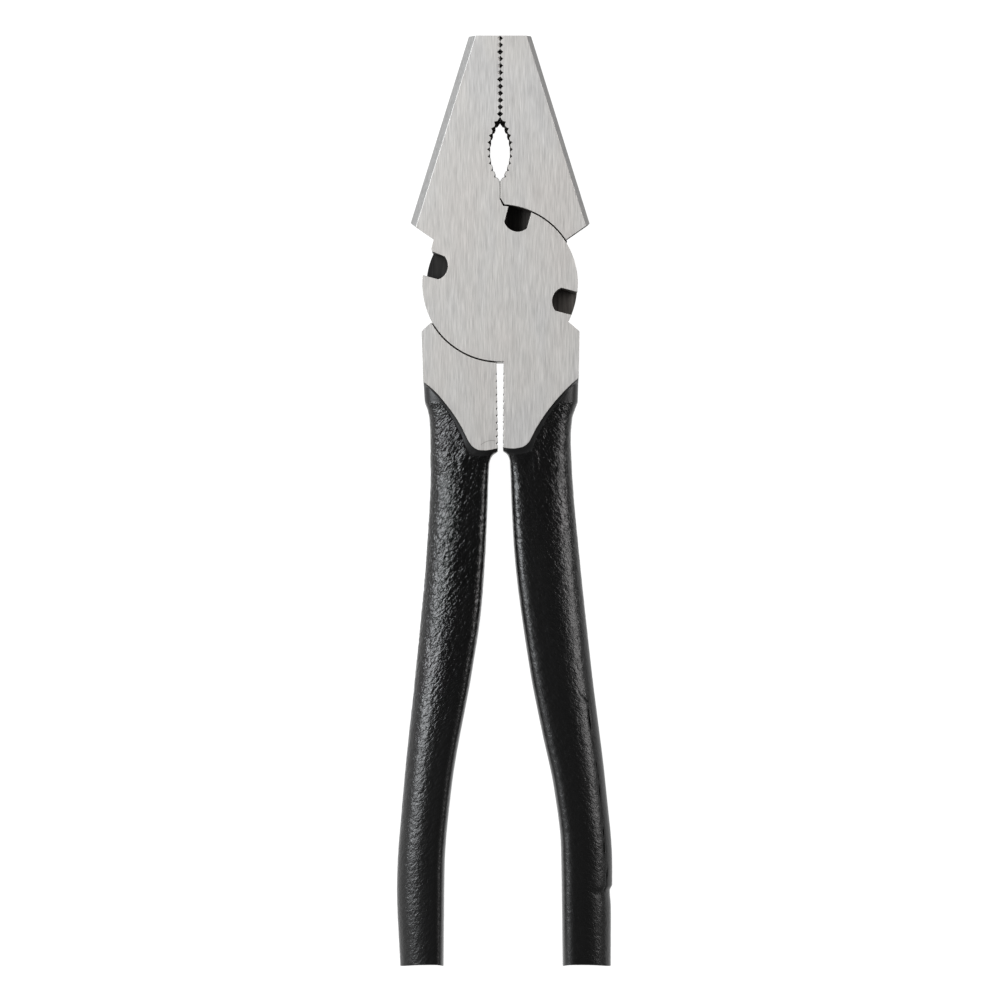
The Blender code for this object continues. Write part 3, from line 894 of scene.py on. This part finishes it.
def floor():
    """A pale lit table top, far larger than the tool."""
    mesh = bpy.data.meshes.new("floor")
    corners = [(x * FLOOR_REACH, y * FLOOR_REACH, 0) for x, y in ((-1, -1), (1, -1), (1, 1), (-1, 1))]
    mesh.from_pydata(corners, [], [(0, 1, 2, 3)])
    obj = new_object("floor", mesh)
    obj.location.z = -FLOOR_DROP * MM
    look = Look("pale_table")
    look.shader.inputs["Base Color"].default_value = (0.12, 0.12, 0.12, 1.0)
    look.shader.inputs["Roughness"].default_value = 0.9
    look.shader.inputs["Specular IOR Level"].default_value = 0.0
    look.shader.inputs["Emission Color"].default_value = (1.0, 1.0, 1.0, 1.0)
    look.shader.inputs["Emission Strength"].default_value = 1.0
    mesh.materials.append(look.material)


def softbox(name, place, target, width, height, power, colour):
    """A large soft rectangular light that the camera doesn't see."""
    light = bpy.data.lights.new(name, "AREA")
    light.shape = "RECTANGLE"
    light.size, light.size_y = width, height
    light.energy = power
    light.color = colour
    obj = new_object(name, light)
    obj.location = place
    obj.rotation_euler = (Vector(target) - Vector(place)).to_track_quat("-Z", "Y").to_euler()
    obj.visible_camera = False


def surroundings():
    """A dark room with a bright wall on the left and a dimmer one on the right."""
    world = bpy.data.worlds.new("room")
    bpy.context.scene.world = world
    world.use_nodes = True
    tree = world.node_tree
    coordinates = tree.nodes.new("ShaderNodeTexCoord")
    split = tree.nodes.new("ShaderNodeSeparateXYZ")
    span = tree.nodes.new("ShaderNodeMapRange")
    span.inputs["From Min"].default_value = -1.0
    ramp = tree.nodes.new("ShaderNodeValToRGB")
    tree.links.new(coordinates.outputs["Generated"], split.inputs["Vector"])
    tree.links.new(split.outputs["X"], span.inputs["Value"])
    tree.links.new(span.outputs["Result"], ramp.inputs["Fac"])
    tree.links.new(ramp.outputs["Color"], tree.nodes["Background"].inputs["Color"])
    set_stops(ramp.color_ramp, [(place, grey(brightness)) for place, brightness in WALLS])


def camera():
    """The photographer's place: straight above the tool."""
    data = bpy.data.cameras.new("camera")
    obj = new_object("camera", data)
    obj.location = (0.0, CAMERA_Y * MM, CAMERA_HEIGHT * MM)
    distance = CAMERA_HEIGHT - THICKNESS
    data.sensor_width = SENSOR
    data.lens = SENSOR * distance / (PICTURE / PIXELS_PER_MM)
    data.clip_start, data.clip_end = 0.01, 50.0
    bpy.context.scene.camera = obj


# ---------------------------------------------------------------- scene

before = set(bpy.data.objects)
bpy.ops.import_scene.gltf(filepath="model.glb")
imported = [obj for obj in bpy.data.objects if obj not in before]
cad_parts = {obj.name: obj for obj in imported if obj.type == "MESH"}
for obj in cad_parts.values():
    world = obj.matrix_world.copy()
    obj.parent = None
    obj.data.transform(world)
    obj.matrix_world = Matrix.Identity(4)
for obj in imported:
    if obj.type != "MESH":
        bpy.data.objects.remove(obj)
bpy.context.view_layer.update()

camera()
floor()
surroundings()
for light in LIGHTS:
    softbox(*light)

# In the order of GROUND, BLACKENED, CHAMFERED and TOOTHED.
STEEL = (
    brushed_steel("brushed_steel"), blackened_steel("blackened_steel"), chamfer_steel("chamfer_steel"),
    black_teeth_painted_shade("black_teeth_painted_shade"),
)
steel_half("front_steel", "front_jaw_half", "front_half", STEEL)
steel_half("rear_steel", "rear_jaw_half", "rear_half", STEEL, turned=True)
rivet("rivet", "front_half", brushed_steel("rivet_steel"))
grip("right_coating", "right_grip", RIGHT, "front_half", 3.7)
grip("left_coating", "left_grip", LEFT, "rear_half", 11.2)

bpy.context.scene.view_settings.view_transform = "Standard"
